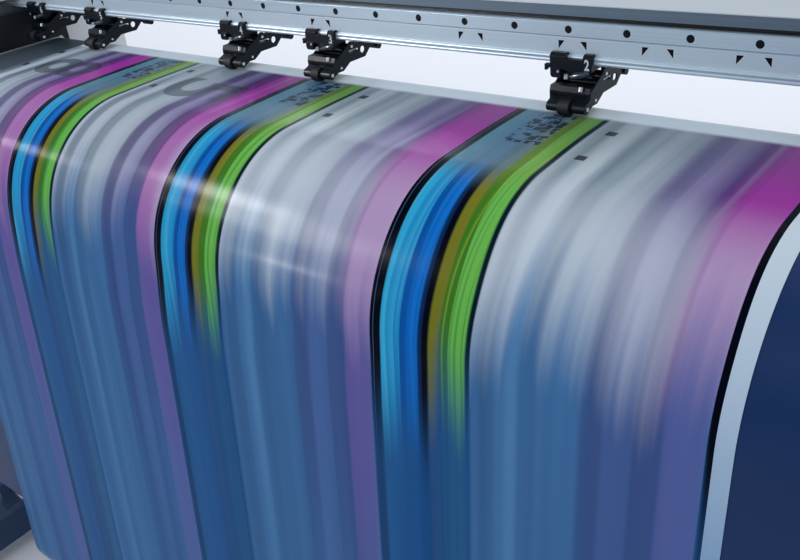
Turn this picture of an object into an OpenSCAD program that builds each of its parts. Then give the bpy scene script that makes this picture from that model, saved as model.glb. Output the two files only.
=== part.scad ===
// Wide-format roll printing press, in millimetres with Z up. The origin is on the floor under the
// middle of the machine. X runs along the beam, the front with the apron faces -Y, and Y = 0 is the
// plane of the beam's front face.

/* [Printed web] */
// Width of the printed web
web_w = 1107; // [1000:1:1200]
// Thickness of the web
web_t = 0.5; // [0.3:0.1:0.8]
// Running gap between the web and what it passes over
web_gap = 0.3; // [0.2:0.05:0.4]
// Height of the web's upper face above the floor
web_top = 900; // [860:5:960]

/* [Platen and apron] */
// From each side frame in to the end of the platen and the apron
platen_gap = 52; // [30:1:60]
// From the beam's front face forward to where the web starts to bend down
platen_front = 154; // [130:1:170]
// From the beam's front face back to where the web starts to bend down
platen_back = 5; // [2:1:12]
// Overall height of the platen extrusion
platen_h = 40; // [36:1:50]
// Thickness of the platen's top plate and walls
platen_wall = 6; // [4:0.5:8]
// Radius of the web's outer face in the front bend
front_r = 133; // [120:1:145]
// Angle by which the web turns down over the front bend
front_turn = 84.4; // [80:0.2:88]
// Radius of the web's outer face in the rear bend
rear_r = 30; // [26:1:36]
// Thickness of the apron's and the rear guide's sheet metal
sheet_t = 2; // [1.5:0.5:3]
// Height of the apron's lower edge above the floor
apron_bottom = 240; // [230:10:560]
// Thickness of the bright rims at the platen's two ends
rim_t = 2.5; // [2:0.5:4]
// How far the rims stand proud of the platen and the apron
rim_proud = 1; // [0.5:0.5:2]
// Height of the rims' band, measured inwards from the platen's face
rim_band = 16; // [12:1:18]
// Number of ribs that carry the apron
rib_count = 5; // [3:1:7]
// Thickness of each rib
rib_t = 4; // [3:0.5:6]
// From the platen's ends in to the outer ribs
rib_inset = 60; // [40:5:90]
// Depth of the ribs behind the apron's flat part
rib_d = 40; // [30:5:60]
// From the bed beam's underside down to where the ribs' brace ends
rib_brace = 140; // [100:10:180]
// Depth of the apron's hem
hem_d = 14; // [10:1:20]
// Length of the rear guide's slope
guide_len = 60; // [40:5:80]

/* [Stand and bed beam] */
// Distance between the centres of the two legs
leg_span = 1520; // [1500:5:1560]
// Size of a leg along the machine
leg_w = 60; // [50:5:70]
// Size of a leg from front to back
leg_d = 120; // [100:5:140]
// How far behind the beam's front face the bed beam and the legs end
bed_back = 50; // [44:1:70]
// Height of the bed beam
bed_h = 100; // [80:5:120]
// Wall of the bed beam
bed_wall = 5; // [4:0.5:8]
// Length of each foot beam from front to back
foot_len = 860; // [800:10:960]
// Height of each foot beam
foot_h = 60; // [50:5:70]
// Height of the foot beams' undersides above the floor
foot_clear = 30; // [24:1:40]
// Radius of a levelling foot's pad
pad_r = 30; // [24:1:34]
// Thickness of a levelling foot's pad
pad_t = 10; // [8:1:14]
// Radius of a levelling foot's stud
stud_r = 8; // [6:0.5:10]
// From a foot beam's end to the centre of its levelling foot
foot_inset = 45; // [40:1:80]
// Height of each crossbar
crossbar_h = 60; // [40:5:70]
// Size of each crossbar from front to back
crossbar_d = 40; // [30:5:50]
// Heights of the crossbars' centres above the floor
crossbar_z = [330, 670];

/* [Ends of the machine] */
// From the legs' inner faces in to the side frames' inner faces
side_inset = 25; // [20:1:40]
// Thickness of the side frames
side_t = 8; // [6:1:10]
// How far the side frames reach forward of the beam's front face
side_front = 120; // [100:2:140]
// How far the side frames reach back behind the beam's front face
side_back = 61; // [50:1:70]
// Slope of the side frames' upper front corner, along the frame
side_slope = 30; // [20:1:40]
// Width of the flanges by which the side frames are bolted to the bed and the beam
flange_w = 36; // [30:1:44]
// Clearance between the side frames and the beam's clamping foot
side_fit = 2; // [1:0.5:3]
// Overall length of the machine over its end housings
machine_w = 2000; // [1900:10:2200]
// Height of the end housings' top above the floor
housing_top = 1110; // [1060:5:1160]
// Front face of the end housings, forward of the beam's front face
housing_front = 215; // [190:5:260]
// Rear face of the end housings, behind the beam's front face
housing_back = 175; // [150:5:220]
// Radius of the end housings' long edges
housing_r = 35; // [20:1:50]
// Clearance between the end housings and what runs into them
housing_gap = 1; // [0.5:0.5:3]

/* [Beam and guide rail] */
// Height of the guide rail's middle above the web
rail_over_web = 78; // [76:1:84]
// Depth of the beam from front to back
beam_d = 110; // [90:5:140]
// From the guide rail's middle up to the beam's top
beam_up = 24; // [20:0.5:30]
// From the guide rail's middle down to the beam's box
beam_down = 16; // [14:0.5:18]
// From the guide rail's middle down to the upper edge of the clamping foot
foot_edge = 24.2; // [23:0.1:26]
// From the guide rail's middle down to the lower edge of the clamping foot
foot_low = 32; // [30:0.2:33]
// Depth of the clamping foot's neck
neck_d = 19; // [17:1:24]
// How far the clamping foot's lips stand proud of its neck
lip = 3; // [2.5:0.5:4]
// Wall of the beam
beam_wall = 4; // [3:0.5:6]
// Thickness of the beam's top cover
cover_t = 1; // [0.8:0.1:2]
// How far the top cover's edge stands forward of the beam's face
cover_over = 1.5; // [1:0.5:3]
// Width of the guide rail
rail_w = 15; // [14:0.5:15]
// Height of the guide rail
rail_h = 14; // [12:0.5:15]
// Chamfer of the guide rail's edges
rail_chamfer = 1.3; // [0.8:0.1:1.6]
// Place of one of the guide rail's holes along the machine
hole_x = 154.5; // [130:0.5:190]
// Distance between the guide rail's holes
hole_pitch = 60; // [50:1:80]
// Radius of the counterbores in the guide rail
counterbore_r = 3.75; // [3.5:0.05:4.25]
// Depth of the counterbores
counterbore_depth = 5.3; // [4:0.1:6]
// Radius of the guide rail's screw holes
screw_hole_r = 2.25; // [2:0.05:2.75]
// Height of the recess between the guide rail and the dark strip
recess_h = 5.3; // [4:0.1:6]
// Depth of that recess
recess_d = 6; // [4:0.5:8]
// Thickness of the dark strip on the beam's face
strip_t = 2; // [1.5:0.5:3]
// How far the dark strip stands proud of the beam's face
strip_proud = 0.5; // [0.3:0.1:0.8]

/* [Rolls] */
// Outer radius of the supply roll
supply_r = 90; // [70:1:100]
// Place of the supply roll's axis behind the beam's front face
supply_y = 230; // [210:5:250]
// Height of the supply roll's axis above the floor
supply_z = 560; // [540:5:600]
// Outer radius of the take-up roll
take_up_r = 62; // [50:1:75]
// Height of the take-up roll's axis above the floor
take_up_z = 140; // [125:5:180]
// Outer radius of the card cores
core_r = 42; // [38:1:46]
// How far the cores stand out at each end of a roll
core_out = 30; // [15:5:50]
// Radius of the spindles
spindle_r = 12; // [10:0.5:16]
// Clearance of the spindles in their saddles and cores
spindle_fit = 0.1; // [0.05:0.05:0.3]
// Thickness of the roll brackets
bracket_t = 12; // [8:1:16]
// Half height of the roll brackets at their saddles
bracket_half = 30; // [26:1:36]
// Half height of the roll brackets at the legs
bracket_root = 60; // [50:2:70]
// Radius of the feed shaft
feed_r = 7; // [6:0.5:8]
// Radius of the grit sleeves on the feed shaft
grit_r = 12; // [10:0.5:13]
// Length of each grit sleeve
grit_len = 29; // [20:1:32]
// Places of the grit sleeves along the machine
grit_x = [-499.5, -202.5, -52.5, 160.5, 278.5, 364.5, 450.5];

/* [Pinch-roller units] */
// From the web's right edge in to the first unit
unit_inset = 17.5; // [12:0.5:40]
// Places of the second to the fifth unit along the machine
unit_mid = [282, -48.5, -201.7, -503.5];
// From the left side frame in to the last unit, which is parked beside the web
unit_park = 43; // [42:1:60]
// From a unit's middle to the clamp's left end
clamp_left = 24; // [22:0.5:26]
// From a unit's middle to the clamp's right end
clamp_right = 21; // [19:0.5:23]
// Width of the clamp's left ear, up to the notch between the ears
ear_left = 17; // [14:0.5:19]
// Width of the clamp's right ear, which carries the number
ear_right = 9.5; // [8:0.5:12]
// From the guide rail's middle down to the top of the ears
ear_top = 21.3; // [20:0.1:22]
// From the guide rail's middle down to the floor of the notch
notch_low = 26; // [25:0.5:28]
// From the guide rail's middle down to the clamp's underside
clamp_low = 37; // [36:0.5:38]
// How far the clamp stands forward of the beam's face
clamp_front = 8; // [7:0.5:10]
// Thickness of the clamp behind the beam's foot
clamp_back = 8; // [6:0.5:10]
// Sliding clearance between the clamp and the beam's foot
clamp_fit = 0.3; // [0.2:0.05:0.4]
// From the guide rail's middle down to the end of the block under the left ear
block_low = 44.5; // [43:0.5:45]
// Width of that block
block_w = 11; // [9:0.5:13]
// Length of the release lever under the right ear
lever_len = 22; // [18:1:26]
// Thickness of the release lever at its middle
lever_t = 5.2; // [4:0.2:6]
// Radius of a pinch roller
roller_r = 8; // [7:0.25:9]
// Width of a pinch roller
roller_w = 12; // [10:1:16]
// From the beam's face forward to the pinch rollers' axis
roller_y = 20; // [18:0.5:22]
// Radius of a pinch roller's axle
axle_r = 2; // [1.5:0.25:2.5]
// Running clearance of rollers and arms on their pins
pin_fit = 0.05; // [0.03:0.01:0.08]
// Radius of the pin that an arm tilts on
pivot_r = 3; // [2.5:0.25:3.5]
// From the beam's face back to the arms' pivot
pivot_y = 19; // [18:0.5:22]
// From the guide rail's middle down to the arms' pivot
pivot_drop = 45.5; // [45:0.5:48]
// Half the width of the clamp's pivot lug
lug_half = 9; // [8:0.5:11]
// Radius of the lug and of the arm's eyes round the pivot
lug_r = 6; // [5:0.5:7]
// From a unit's middle to the arm's left and right faces
arm_half = 22.5; // [21:0.5:24]
// From the beam's face forward to the arm's front
arm_front = 12; // [10:0.5:14]
// From the guide rail's middle down to the top of the arm's box
arm_top = 52.3; // [51:0.1:54]
// Height of the arm's underside above the web
arm_over_web = 8; // [7:0.5:9]
// Depth of the arm's box
arm_d = 11; // [9:0.5:13]
// Radius of the tube that carries the axle
tube_r = 5; // [4:0.25:6]
// Thickness of the arm's side plates
cheek_t = 1.5; // [1:0.25:3]
// From the beam's face back to the end of the arm's tail
tail_end = 53; // [48:1:58]
// From the beam's face back to the middle of the lever's knob
knob_y = 75; // [70:1:80]
// Radius of the knob
knob_r = 4.5; // [4:0.25:6]

/* [Hidden] */
$fn = 48;

// Widths, heights and depths that follow from the sizes above.
leg_inner = leg_span / 2 - leg_w / 2;
beam_half = leg_span / 2 + leg_w / 2;
side_half = leg_inner - side_inset;
platen_w = 2 * (side_half - platen_gap);
face_z = web_top - web_t - web_gap;
bed_top = face_z - platen_h;
bed_bottom = bed_top - bed_h;
bed_front = bed_back - leg_d;
rail_z = web_top + rail_over_web;
beam_under = rail_z - beam_down;
foot_back = neck_d + lip;
foot_top = foot_clear + foot_h;
inset = web_t + web_gap;
unit_x = concat([web_w / 2 - unit_inset], unit_mid, [unit_park - side_half]);

// Centres of the two bends, and the turn of the rear one, whose line touches the supply roll.
front_c = [-platen_front, web_top - front_r];
rear_c = [platen_back, web_top - rear_r];
supply_c = [supply_y, supply_z];
supply_way = supply_c - rear_c;
rear_turn = atan2(-supply_way[1], supply_way[0]) - asin((supply_r - rear_r) / norm(supply_way));

// Where the web leaves the front bend, and the take-up roll that its straight part touches.
front_end = front_c + front_r * [-sin(front_turn), cos(front_turn)];
drop_len = (front_end[1] - take_up_r * cos(front_turn) - take_up_z) / sin(front_turn);
drop_end = front_end - drop_len * [cos(front_turn), sin(front_turn)];
take_up_c = drop_end + take_up_r * [sin(front_turn), -cos(front_turn)];

// How far the web is wound round each roll.
wrap_turn = 335;

function arc(c, r, from, to, n) =
    [for (i = [0:n]) let (t = from + (to - from) * i / n) c + r * [-sin(t), cos(t)]];
function front_arc(d, from, to) = arc(front_c, front_r - d, from, to, ceil(abs(to - from) / 3));
function rear_arc(d, from, to) = arc(rear_c, rear_r - d, -from, -to, ceil(abs(to - from) / 3));
function front_line(d, z) =
    let (a = front_c + (front_r - d) * [-sin(front_turn), cos(front_turn)])
    a - (a[1] - z) / sin(front_turn) * [cos(front_turn), sin(front_turn)];
function reversed(list) = [for (i = [len(list) - 1:-1:0]) list[i]];

// Draws an outline of (Y, Z) points and carries it along X, centred on x.
module along_x(width, x = 0) {
    translate([x - width / 2, 0, 0]) rotate([90, 0, 90]) linear_extrude(width) children();
}

// Draws an outline of (X, Z) points and carries it along Y from y back to y + depth.
module along_y(depth, y) {
    translate([0, y + depth, 0]) rotate([90, 0, 0]) linear_extrude(depth) children();
}

module both_ends() {
    children();
    mirror([1, 0, 0]) children();
}

module rounded(low, high, r) {
    translate(low + [r, 0]) square(high - low - [2 * r, 0]);
    translate(low + [0, r]) square(high - low - [0, 2 * r]);
    for (y = [low[0] + r, high[0] - r], z = [low[1] + r, high[1] - r]) translate([y, z]) circle(r);
}

// Stand

module levelling_feet() {
    color("dimgray")
        for (x = [-1, 1] * leg_span / 2, y = [-1, 1] * (foot_len / 2 - foot_inset)) translate([x, y, 0]) {
            cylinder(h = pad_t, r = pad_r);
            cylinder(h = foot_clear + foot_h / 2, r = stud_r);
            translate([0, 0, foot_clear - stud_r]) cylinder(h = stud_r, r = stud_r * 1.7, $fn = 6);
        }
}

module foot_beams() {
    color("midnightblue") difference() {
        for (x = [-1, 1] * leg_span / 2)
            along_x(leg_w, x)
                rounded([-foot_len / 2, foot_clear], [foot_len / 2, foot_top], foot_h / 8);
        for (x = [-1, 1] * leg_span / 2, y = [-1, 1] * (foot_len / 2 - foot_inset))
            translate([x, y, foot_clear - 1]) cylinder(h = foot_h / 2 + 2, r = stud_r + spindle_fit);
    }
}

module legs() {
    color("midnightblue")
        for (x = [-1, 1] * leg_span / 2)
            translate([x - leg_w / 2, bed_front, foot_top]) cube([leg_w, leg_d, bed_bottom - foot_top]);
}

module stand_crossbars() {
    color("midnightblue")
        for (z = crossbar_z)
            translate([-leg_inner, bed_back - leg_d / 2 - crossbar_d / 2, z - crossbar_h / 2])
                cube([2 * leg_inner, crossbar_d, crossbar_h]);
}

module bed_beam() {
    color("slategray") along_x(2 * beam_half) difference() {
        translate([bed_front, bed_bottom]) square([leg_d, bed_h]);
        translate([bed_front + bed_wall, bed_bottom + bed_wall])
            square([leg_d - 2 * bed_wall, bed_h - 2 * bed_wall]);
    }
}

// Platen, apron and web path

shaft_z = face_z - grit_r;
grit_all = concat(grit_x, [unit_x[0]]);

module platen() {
    channel = grit_r + 2;
    rear_face = rear_arc(inset, 0, rear_turn)[ceil(rear_turn / 3)][0];
    color("slategray") difference() {
        along_x(platen_w) difference() {
            polygon(concat([[-platen_front, face_z]], rear_arc(inset, 0, rear_turn),
                [[rear_face, bed_top], [bed_front, bed_top],
                 [-platen_front, face_z - platen_h / 3]]));
            translate([-roller_y - channel, bed_top + platen_wall])
                square([2 * channel, platen_h - platen_wall - 3]);
            translate([bed_front, bed_top + platen_wall])
                square([-roller_y - channel - platen_wall - bed_front, platen_h - 2 * platen_wall]);
        }
        for (x = grit_all)
            translate([x - grit_len / 2 - 1.5, -roller_y - grit_r + 1, face_z - platen_wall - 1])
                cube([grit_len + 3, 2 * grit_r - 2, platen_wall + 2]);
    }
}

module feed_shaft() {
    color("silver") translate([0, -roller_y, shaft_z]) rotate([0, 90, 0]) {
        cylinder(h = platen_w, r = feed_r, center = true);
        for (x = grit_all) translate([0, 0, x]) cylinder(h = grit_len, r = grit_r, center = true);
    }
}

module platen_rims() {
    outer = inset - rim_proud;
    inner = inset + rim_band;
    color("lightgray") both_ends() along_x(rim_t, platen_w / 2 + rim_t / 2)
        polygon(concat(
            reversed(rear_arc(outer, 0, rear_turn)),
            front_arc(outer, 0, front_turn), [front_line(outer, apron_bottom)],
            [front_line(inner, apron_bottom)], reversed(front_arc(inner, 0, front_turn)),
            rear_arc(rear_r - 6, 0, rear_turn)));
}

module apron() {
    color("darkslategray") along_x(platen_w) {
        polygon(concat(
            front_arc(inset, 0, front_turn), [front_line(inset, apron_bottom)],
            [front_line(inset + hem_d, apron_bottom),
             front_line(inset + hem_d, apron_bottom + sheet_t),
             front_line(inset + sheet_t, apron_bottom + sheet_t)],
            reversed(front_arc(inset + sheet_t, 0, front_turn))));
        translate([-platen_front - sheet_t, face_z - platen_h / 3]) square([sheet_t, platen_h / 3 - 1]);
    }
}

module apron_ribs() {
    back = inset + sheet_t;
    color("slategray")
        for (i = [0:rib_count - 1])
            along_x(rib_t, (i / (rib_count - 1) - 0.5) * (platen_w - 2 * rib_inset))
                polygon(concat(
                    [[bed_front, bed_top - platen_h / 2]],
                    [for (p = front_arc(back, 0, front_turn)) if (p[0] < -platen_front - front_r / 3) p],
                    [front_line(back, apron_bottom + sheet_t),
                     front_line(back + rib_d, apron_bottom + sheet_t),
                     front_line(back + rib_d, bed_bottom - rib_brace),
                     [bed_front, bed_bottom + bed_h / 10]]));
}

module rear_guide() {
    along = [cos(rear_turn), -sin(rear_turn)];
    out = [sin(rear_turn), cos(rear_turn)];
    start = rear_c + (rear_r - inset) * out;
    s = sheet_t * (1 + out[0]) / along[0];
    bend = start - sheet_t * out + s * along;
    low = bed_top + 5;
    color("slategray") along_x(platen_w)
        polygon([start, start + guide_len * along, start + guide_len * along - sheet_t * out,
                 bend, [bend[0], low], [start[0], low]]);
}

module printed_web() {
    // Two like paths, at the outer and the inner face, joined at their ends.
    path = function (d) concat(
        arc(supply_c, supply_r - d, -rear_turn - wrap_turn, -rear_turn, ceil(wrap_turn / 5)),
        reversed(rear_arc(d, 0, rear_turn)),
        front_arc(d, 0, front_turn),
        arc(take_up_c, take_up_r - d, front_turn, front_turn + wrap_turn, ceil(wrap_turn / 5)));
    color("lightsteelblue") along_x(web_w) polygon(concat(path(0), reversed(path(web_t))));
}

// Ends of the machine

module side_frame() {
    low = rail_z - foot_low - side_fit;
    rear = foot_back + side_fit;
    color("black") {
        along_x(side_t, side_half + side_t / 2)
            polygon([[-side_front, bed_top], [side_back, bed_top], [side_back, beam_under],
                     [rear, beam_under], [rear, low], [-side_front + side_slope, low],
                     [-side_front, face_z + side_slope / 6]]);
        translate([side_half, rear, beam_under - side_t]) cube([flange_w, side_back - rear, side_t]);
        translate([side_half, bed_front + side_t, bed_top])
            cube([flange_w, leg_d - 2 * side_t, side_t]);
    }
}

module side_frame_left() { mirror([1, 0, 0]) side_frame(); }
module side_frame_right() { side_frame(); }

module end_housing() {
    inner = side_half + side_t + 3;
    g = housing_gap;
    color("gainsboro") difference() {
        along_x(machine_w / 2 - inner, (machine_w / 2 + inner) / 2)
            rounded([-housing_front, bed_bottom], [housing_back, housing_top], housing_r);
        translate([inner - 1, bed_front - g, bed_bottom - 1])
            cube([beam_half - inner + 1, leg_d + 2 * g, beam_under - bed_bottom + 1]);
        translate([inner - 1, -lip - 2 - g, rail_z - foot_low - g])
            cube([beam_half + g - inner + 1, beam_d + lip + 2 + 2 * g, foot_low + beam_up + 2 * g]);
    }
}

module end_housing_left() { mirror([1, 0, 0]) end_housing(); }
module end_housing_right() { end_housing(); }

// Beam

module rail_beam() {
    slot = rail_w / 2 + 0.1;
    top = beam_up - cover_t;
    strip_low = rail_w / 2 + recess_h;
    bead = (foot_low - foot_edge) / 4;
    cell = (beam_d - rail_h - 3 * beam_wall) / 2;
    color("lightgray") along_x(2 * beam_half) translate([0, rail_z]) {
        difference() {
            translate([0, -beam_down]) square([beam_d, beam_down + top]);
            translate([-1, -slot]) square([rail_h + 1, 2 * slot]);
            translate([-1, 0]) square([recess_d + 1, strip_low]);
            translate([-1, strip_low]) square([strip_t - strip_proud + 1, top - strip_low + 1]);
            for (y = [rail_h + beam_wall, rail_h + 2 * beam_wall + cell])
                translate([y, -beam_down + beam_wall])
                    square([cell, beam_down + top - 2 * beam_wall]);
        }
        translate([0, -foot_edge]) square([neck_d, foot_edge - beam_down + 1]);
        translate([-lip + bead, -foot_low]) square([neck_d + 2 * lip - bead, 4 * bead]);
        for (z = [1, 3]) translate([-lip + bead, -foot_low + z * bead]) circle(bead);
    }
}

module guide_rail() {
    half = rail_w / 2;
    ledge = half - rail_chamfer;
    first = ceil((10 - beam_half - hole_x) / hole_pitch);
    last = floor((beam_half - 10 - hole_x) / hole_pitch);
    color("silver") difference() {
        along_x(2 * beam_half) translate([0, rail_z])
            polygon([[-0.5, -ledge], [rail_chamfer - 0.5, -half], [rail_h, -half],
                     [rail_h, half], [rail_chamfer - 0.5, half], [-0.5, ledge]]);
        for (i = [first:last]) translate([hole_x + i * hole_pitch, 0, rail_z]) rotate([-90, 0, 0]) {
            translate([0, 0, -1]) cylinder(h = counterbore_depth + 0.5, r = counterbore_r);
            cylinder(h = rail_h + 1, r = screw_hole_r);
        }
    }
}

module beam_face_strip() {
    low = rail_w / 2 + recess_h;
    color("dimgray") translate([-beam_half, -strip_proud, rail_z + low])
        cube([2 * beam_half, strip_t, beam_up - cover_t - low]);
}

module beam_top_cover() {
    color("gainsboro") translate([-beam_half, -cover_over, rail_z + beam_up - cover_t])
        cube([2 * beam_half, beam_d + cover_over, cover_t]);
}

// Rolls

module roll(c, r) {
    color("whitesmoke") translate([0, c[0], c[1]]) rotate([0, 90, 0]) difference() {
        union() {
            cylinder(h = web_w, r = r - inset, center = true);
            cylinder(h = web_w + 2 * core_out, r = core_r, center = true);
        }
        cylinder(h = web_w + 2 * core_out + 2, r = spindle_r + spindle_fit, center = true);
    }
}

module spindle(c) {
    color("silver") translate([0, c[0], c[1]]) rotate([0, 90, 0])
        cylinder(h = 2 * leg_inner + 20, r = spindle_r, center = true);
}

module supply_roll() { roll(supply_c, supply_r); }
module take_up_roll() { roll(take_up_c, take_up_r); }
module supply_spindle() { spindle(supply_c); }
module take_up_spindle() { spindle(take_up_c); }

// A flat arm on the inner face of each leg, with an open saddle for the spindle.
module bracket(c, root) {
    side = sign(c[0] - root[0]);
    seat = leg_d / 4;
    saddle_r = spindle_r + spindle_fit;
    color("midnightblue") both_ends() along_x(bracket_t, leg_inner - bracket_t / 2) difference() {
        polygon([root + [-side * seat, bracket_root], root + [side * seat, bracket_root],
                 c + [side * bracket_half, bracket_half * 0.8],
                 c + [side * bracket_half, -bracket_half],
                 root + [side * seat, -bracket_root], root + [-side * seat, -bracket_root]]);
        translate(c) circle(saddle_r);
        translate(c - [saddle_r, 0]) square([2 * saddle_r, bracket_root]);
    }
}

module supply_brackets() { bracket(supply_c, [bed_back - leg_d / 2, supply_z - bracket_half]); }
module take_up_brackets() {
    bracket(take_up_c, [bed_back - leg_d / 2, foot_top + bracket_root + bracket_half]);
}

// Pinch-roller units

axle = [-roller_y, -rail_over_web + web_gap + roller_r];
pivot = [pivot_y, -pivot_drop];
arm_low = -rail_over_web + arm_over_web;

// Holds the beam's foot from the front and the back, and carries the arm at a lug.
module pinch_clamp(x) {
    f = clamp_fit;
    rear = foot_back + f + clamp_back;
    lever_r = (lever_len * lever_len / 4 + lever_t * lever_t / 4) / lever_t;
    lever_z = -clamp_low - lever_t / 2 - 1;
    block_x = -clamp_left + 2;
    color("black") translate([x, 0, rail_z]) difference() {
        union() {
            along_x(clamp_left + clamp_right, (clamp_right - clamp_left) / 2)
                polygon([[-clamp_front, -ear_top - 3], [-clamp_front, -clamp_low], [rear, -clamp_low],
                         [rear, -beam_down - 4], [neck_d + f, -beam_down - 4],
                         [neck_d + f, -foot_edge + f], [foot_back + f, -foot_edge + f],
                         [foot_back + f, -foot_low - f], [-lip - f, -foot_low - f],
                         [-lip - f, -foot_edge + f], [-f, -foot_edge + f], [-f, -ear_top],
                         [-clamp_front + 3, -ear_top]]);
            along_x(2 * lug_half) {
                translate(pivot) circle(lug_r);
                translate([pivot_y - lug_r, -pivot_drop]) square([2 * lug_r, pivot_drop - clamp_low + 1]);
            }
            along_y(7, -clamp_front - 3) {
                translate([block_x, -block_low + 3]) square([block_w, block_low - clamp_low - 2]);
                translate([block_x + 3, -block_low]) square([block_w - 3, 4]);
                translate([block_x + 3, -block_low + 3]) circle(3);
            }
            // The spring's housing, the hook at the left end and the release lever.
            translate([-block_w, -arm_d / 2, -block_low])
                cube([2 * block_w + 3, 15, block_low - clamp_low + 1]);
            translate([-clamp_left - 6, -clamp_front, -clamp_low + 1]) cube([7, 5, 3]);
            translate([-clamp_left - 6, -clamp_front, -clamp_low - 2]) cube([2, 5, 4]);
            along_y(6, -clamp_front - 3) translate([lever_len / 2 - 3, lever_z]) rotate(14)
                intersection() {
                    translate([0, lever_r - lever_t / 2]) circle(lever_r, $fn = 96);
                    translate([0, lever_t / 2 - lever_r]) circle(lever_r, $fn = 96);
                }
        }
        translate([ear_left - clamp_left, -clamp_front - 1, -notch_low])
            cube([clamp_left + clamp_right - ear_left - ear_right, clamp_front + 1, notch_low]);
        translate([0, pivot[0], pivot[1]]) rotate([0, 90, 0])
            cylinder(h = 4 * lug_half, r = pivot_r + pin_fit, center = true);
    }
}

// Outline of the arm's right plate: the box's side, the eye round the pivot and the tail.
module arm_plate() {
    difference() {
        union() {
            polygon([[-arm_front - 0.4, arm_low + 0.3], [1, arm_low], [pivot_y - 5, arm_low + 7],
                     [tail_end - 11, arm_low + 6.5], [tail_end, -pivot_drop - 9],
                     [tail_end - 3, -pivot_drop - 1], [pivot_y + 6, -pivot_drop + 3],
                     [pivot_y - lug_r, -pivot_drop + 2.5], [-arm_front + 7, -arm_top],
                     [-arm_front - 0.4, -arm_top - 3]]);
            translate(pivot) circle(lug_r);
        }
        translate([pivot_y - 5, -pivot_drop - 5]) rotate(-3.5) rounded([-1.8, -1.8], [17.5, 1.8], 1.7);
        translate([tail_end - 14.5, -pivot_drop - 8.5]) circle(4.2);
    }
}

module pinch_arm(x) {
    tube_left = 3 - arm_half;
    inner = arm_half - cheek_t;
    tie_y = pivot_y + lug_r + 3.5;
    tie_top = -pivot_drop - 7;
    color("black") translate([x, 0, rail_z]) {
        difference() {
            union() {
                along_x(arm_half + inner, -cheek_t / 2)
                    polygon([[-arm_front, -arm_top - 5], [-arm_front + 2, -arm_top],
                             [arm_d - arm_front, -arm_top], [arm_d - arm_front, arm_low],
                             [-arm_front, arm_low]]);
                along_x(arm_half - tube_left, (arm_half + tube_left) / 2) {
                    translate(axle) circle(tube_r);
                    polygon([[-arm_front + 1, arm_low + 9], [axle[0], axle[1] + tube_r],
                             [axle[0], axle[1] - tube_r], [-arm_front + 3, arm_low]]);
                }
            }
            translate([4 - arm_half, -arm_front - 1, arm_low + 10]) mirror([0, 0, 1])
                cube([2 * arm_half - 8, 2.5, 6.5]);
            translate([0, axle[0], axle[1]]) rotate([0, 90, 0])
                cylinder(h = roller_w + 2, r = roller_r + 1, center = true);
        }
        along_x(cheek_t, arm_half - cheek_t / 2) arm_plate();
        along_x(cheek_t, cheek_t / 2 - arm_half) {
            translate(pivot) circle(lug_r);
            polygon([[arm_d - arm_front - 2, -arm_top - 1], [pivot_y - lug_r, -pivot_drop + 1],
                     [pivot_y + lug_r, -pivot_drop - 1], [tie_y + 3, -pivot_drop - 7],
                     [tie_y + 3, arm_low + 8], [arm_d - arm_front - 2, arm_low + 1]]);
        }
        // The cross tie behind the pivot.
        along_x(2 * arm_half) translate([tie_y, arm_low + 8]) square([3, tie_top - arm_low - 8]);
        // The lever on the tail, with its knob, and the short tie that holds it.
        along_x(8, arm_half / 2) {
            polygon([[tail_end - 15, -pivot_drop], [tail_end - 4, -pivot_drop - 2],
                     [knob_y - 2, arm_low + 13], [knob_y - 2, arm_low + 9],
                     [tail_end - 4, -pivot_drop - 7], [tail_end - 15, -pivot_drop - 5]]);
        }
        along_x(inner - arm_half / 2 + 1, (inner + arm_half / 2) / 2 + 0.5)
            translate([tail_end - 10, -pivot_drop - 6]) square([5, 5]);
        translate([arm_half / 2 - 2, knob_y, arm_low + 11]) rotate([0, 90, 0])
            cylinder(h = 17, r = knob_r, center = true);
        translate([0, pivot[0], pivot[1]]) rotate([0, 90, 0])
            cylinder(h = 2 * arm_half, r = pivot_r, center = true);
    }
    color("silver") translate([x + 2, axle[0], rail_z + axle[1]]) rotate([0, 90, 0])
        cylinder(h = 2 * arm_half - 2, r = axle_r, center = true);
}

module pinch_roller(x) {
    color("dimgray")
        translate([x, -roller_y, web_top + web_gap + roller_r]) rotate([0, 90, 0]) difference() {
            cylinder(h = roller_w, r = roller_r, center = true);
            cylinder(h = roller_w + 2, r = axle_r + pin_fit, center = true);
        }
}

levelling_feet();
foot_beams();
legs();
stand_crossbars();
bed_beam();
platen();
platen_rims();
apron();
apron_ribs();
rear_guide();
feed_shaft();
side_frame_left();
side_frame_right();
end_housing_left();
end_housing_right();
rail_beam();
guide_rail();
beam_face_strip();
beam_top_cover();
printed_web();
supply_roll();
supply_spindle();
supply_brackets();
take_up_roll();
take_up_spindle();
take_up_brackets();
for (i = [1:6]) {
    pinch_clamp(unit_x[i - 1]);
    pinch_arm(unit_x[i - 1]);
    pinch_roller(unit_x[i - 1]);
}
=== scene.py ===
import math

import bmesh
import bpy
from mathutils import Matrix, Vector


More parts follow.
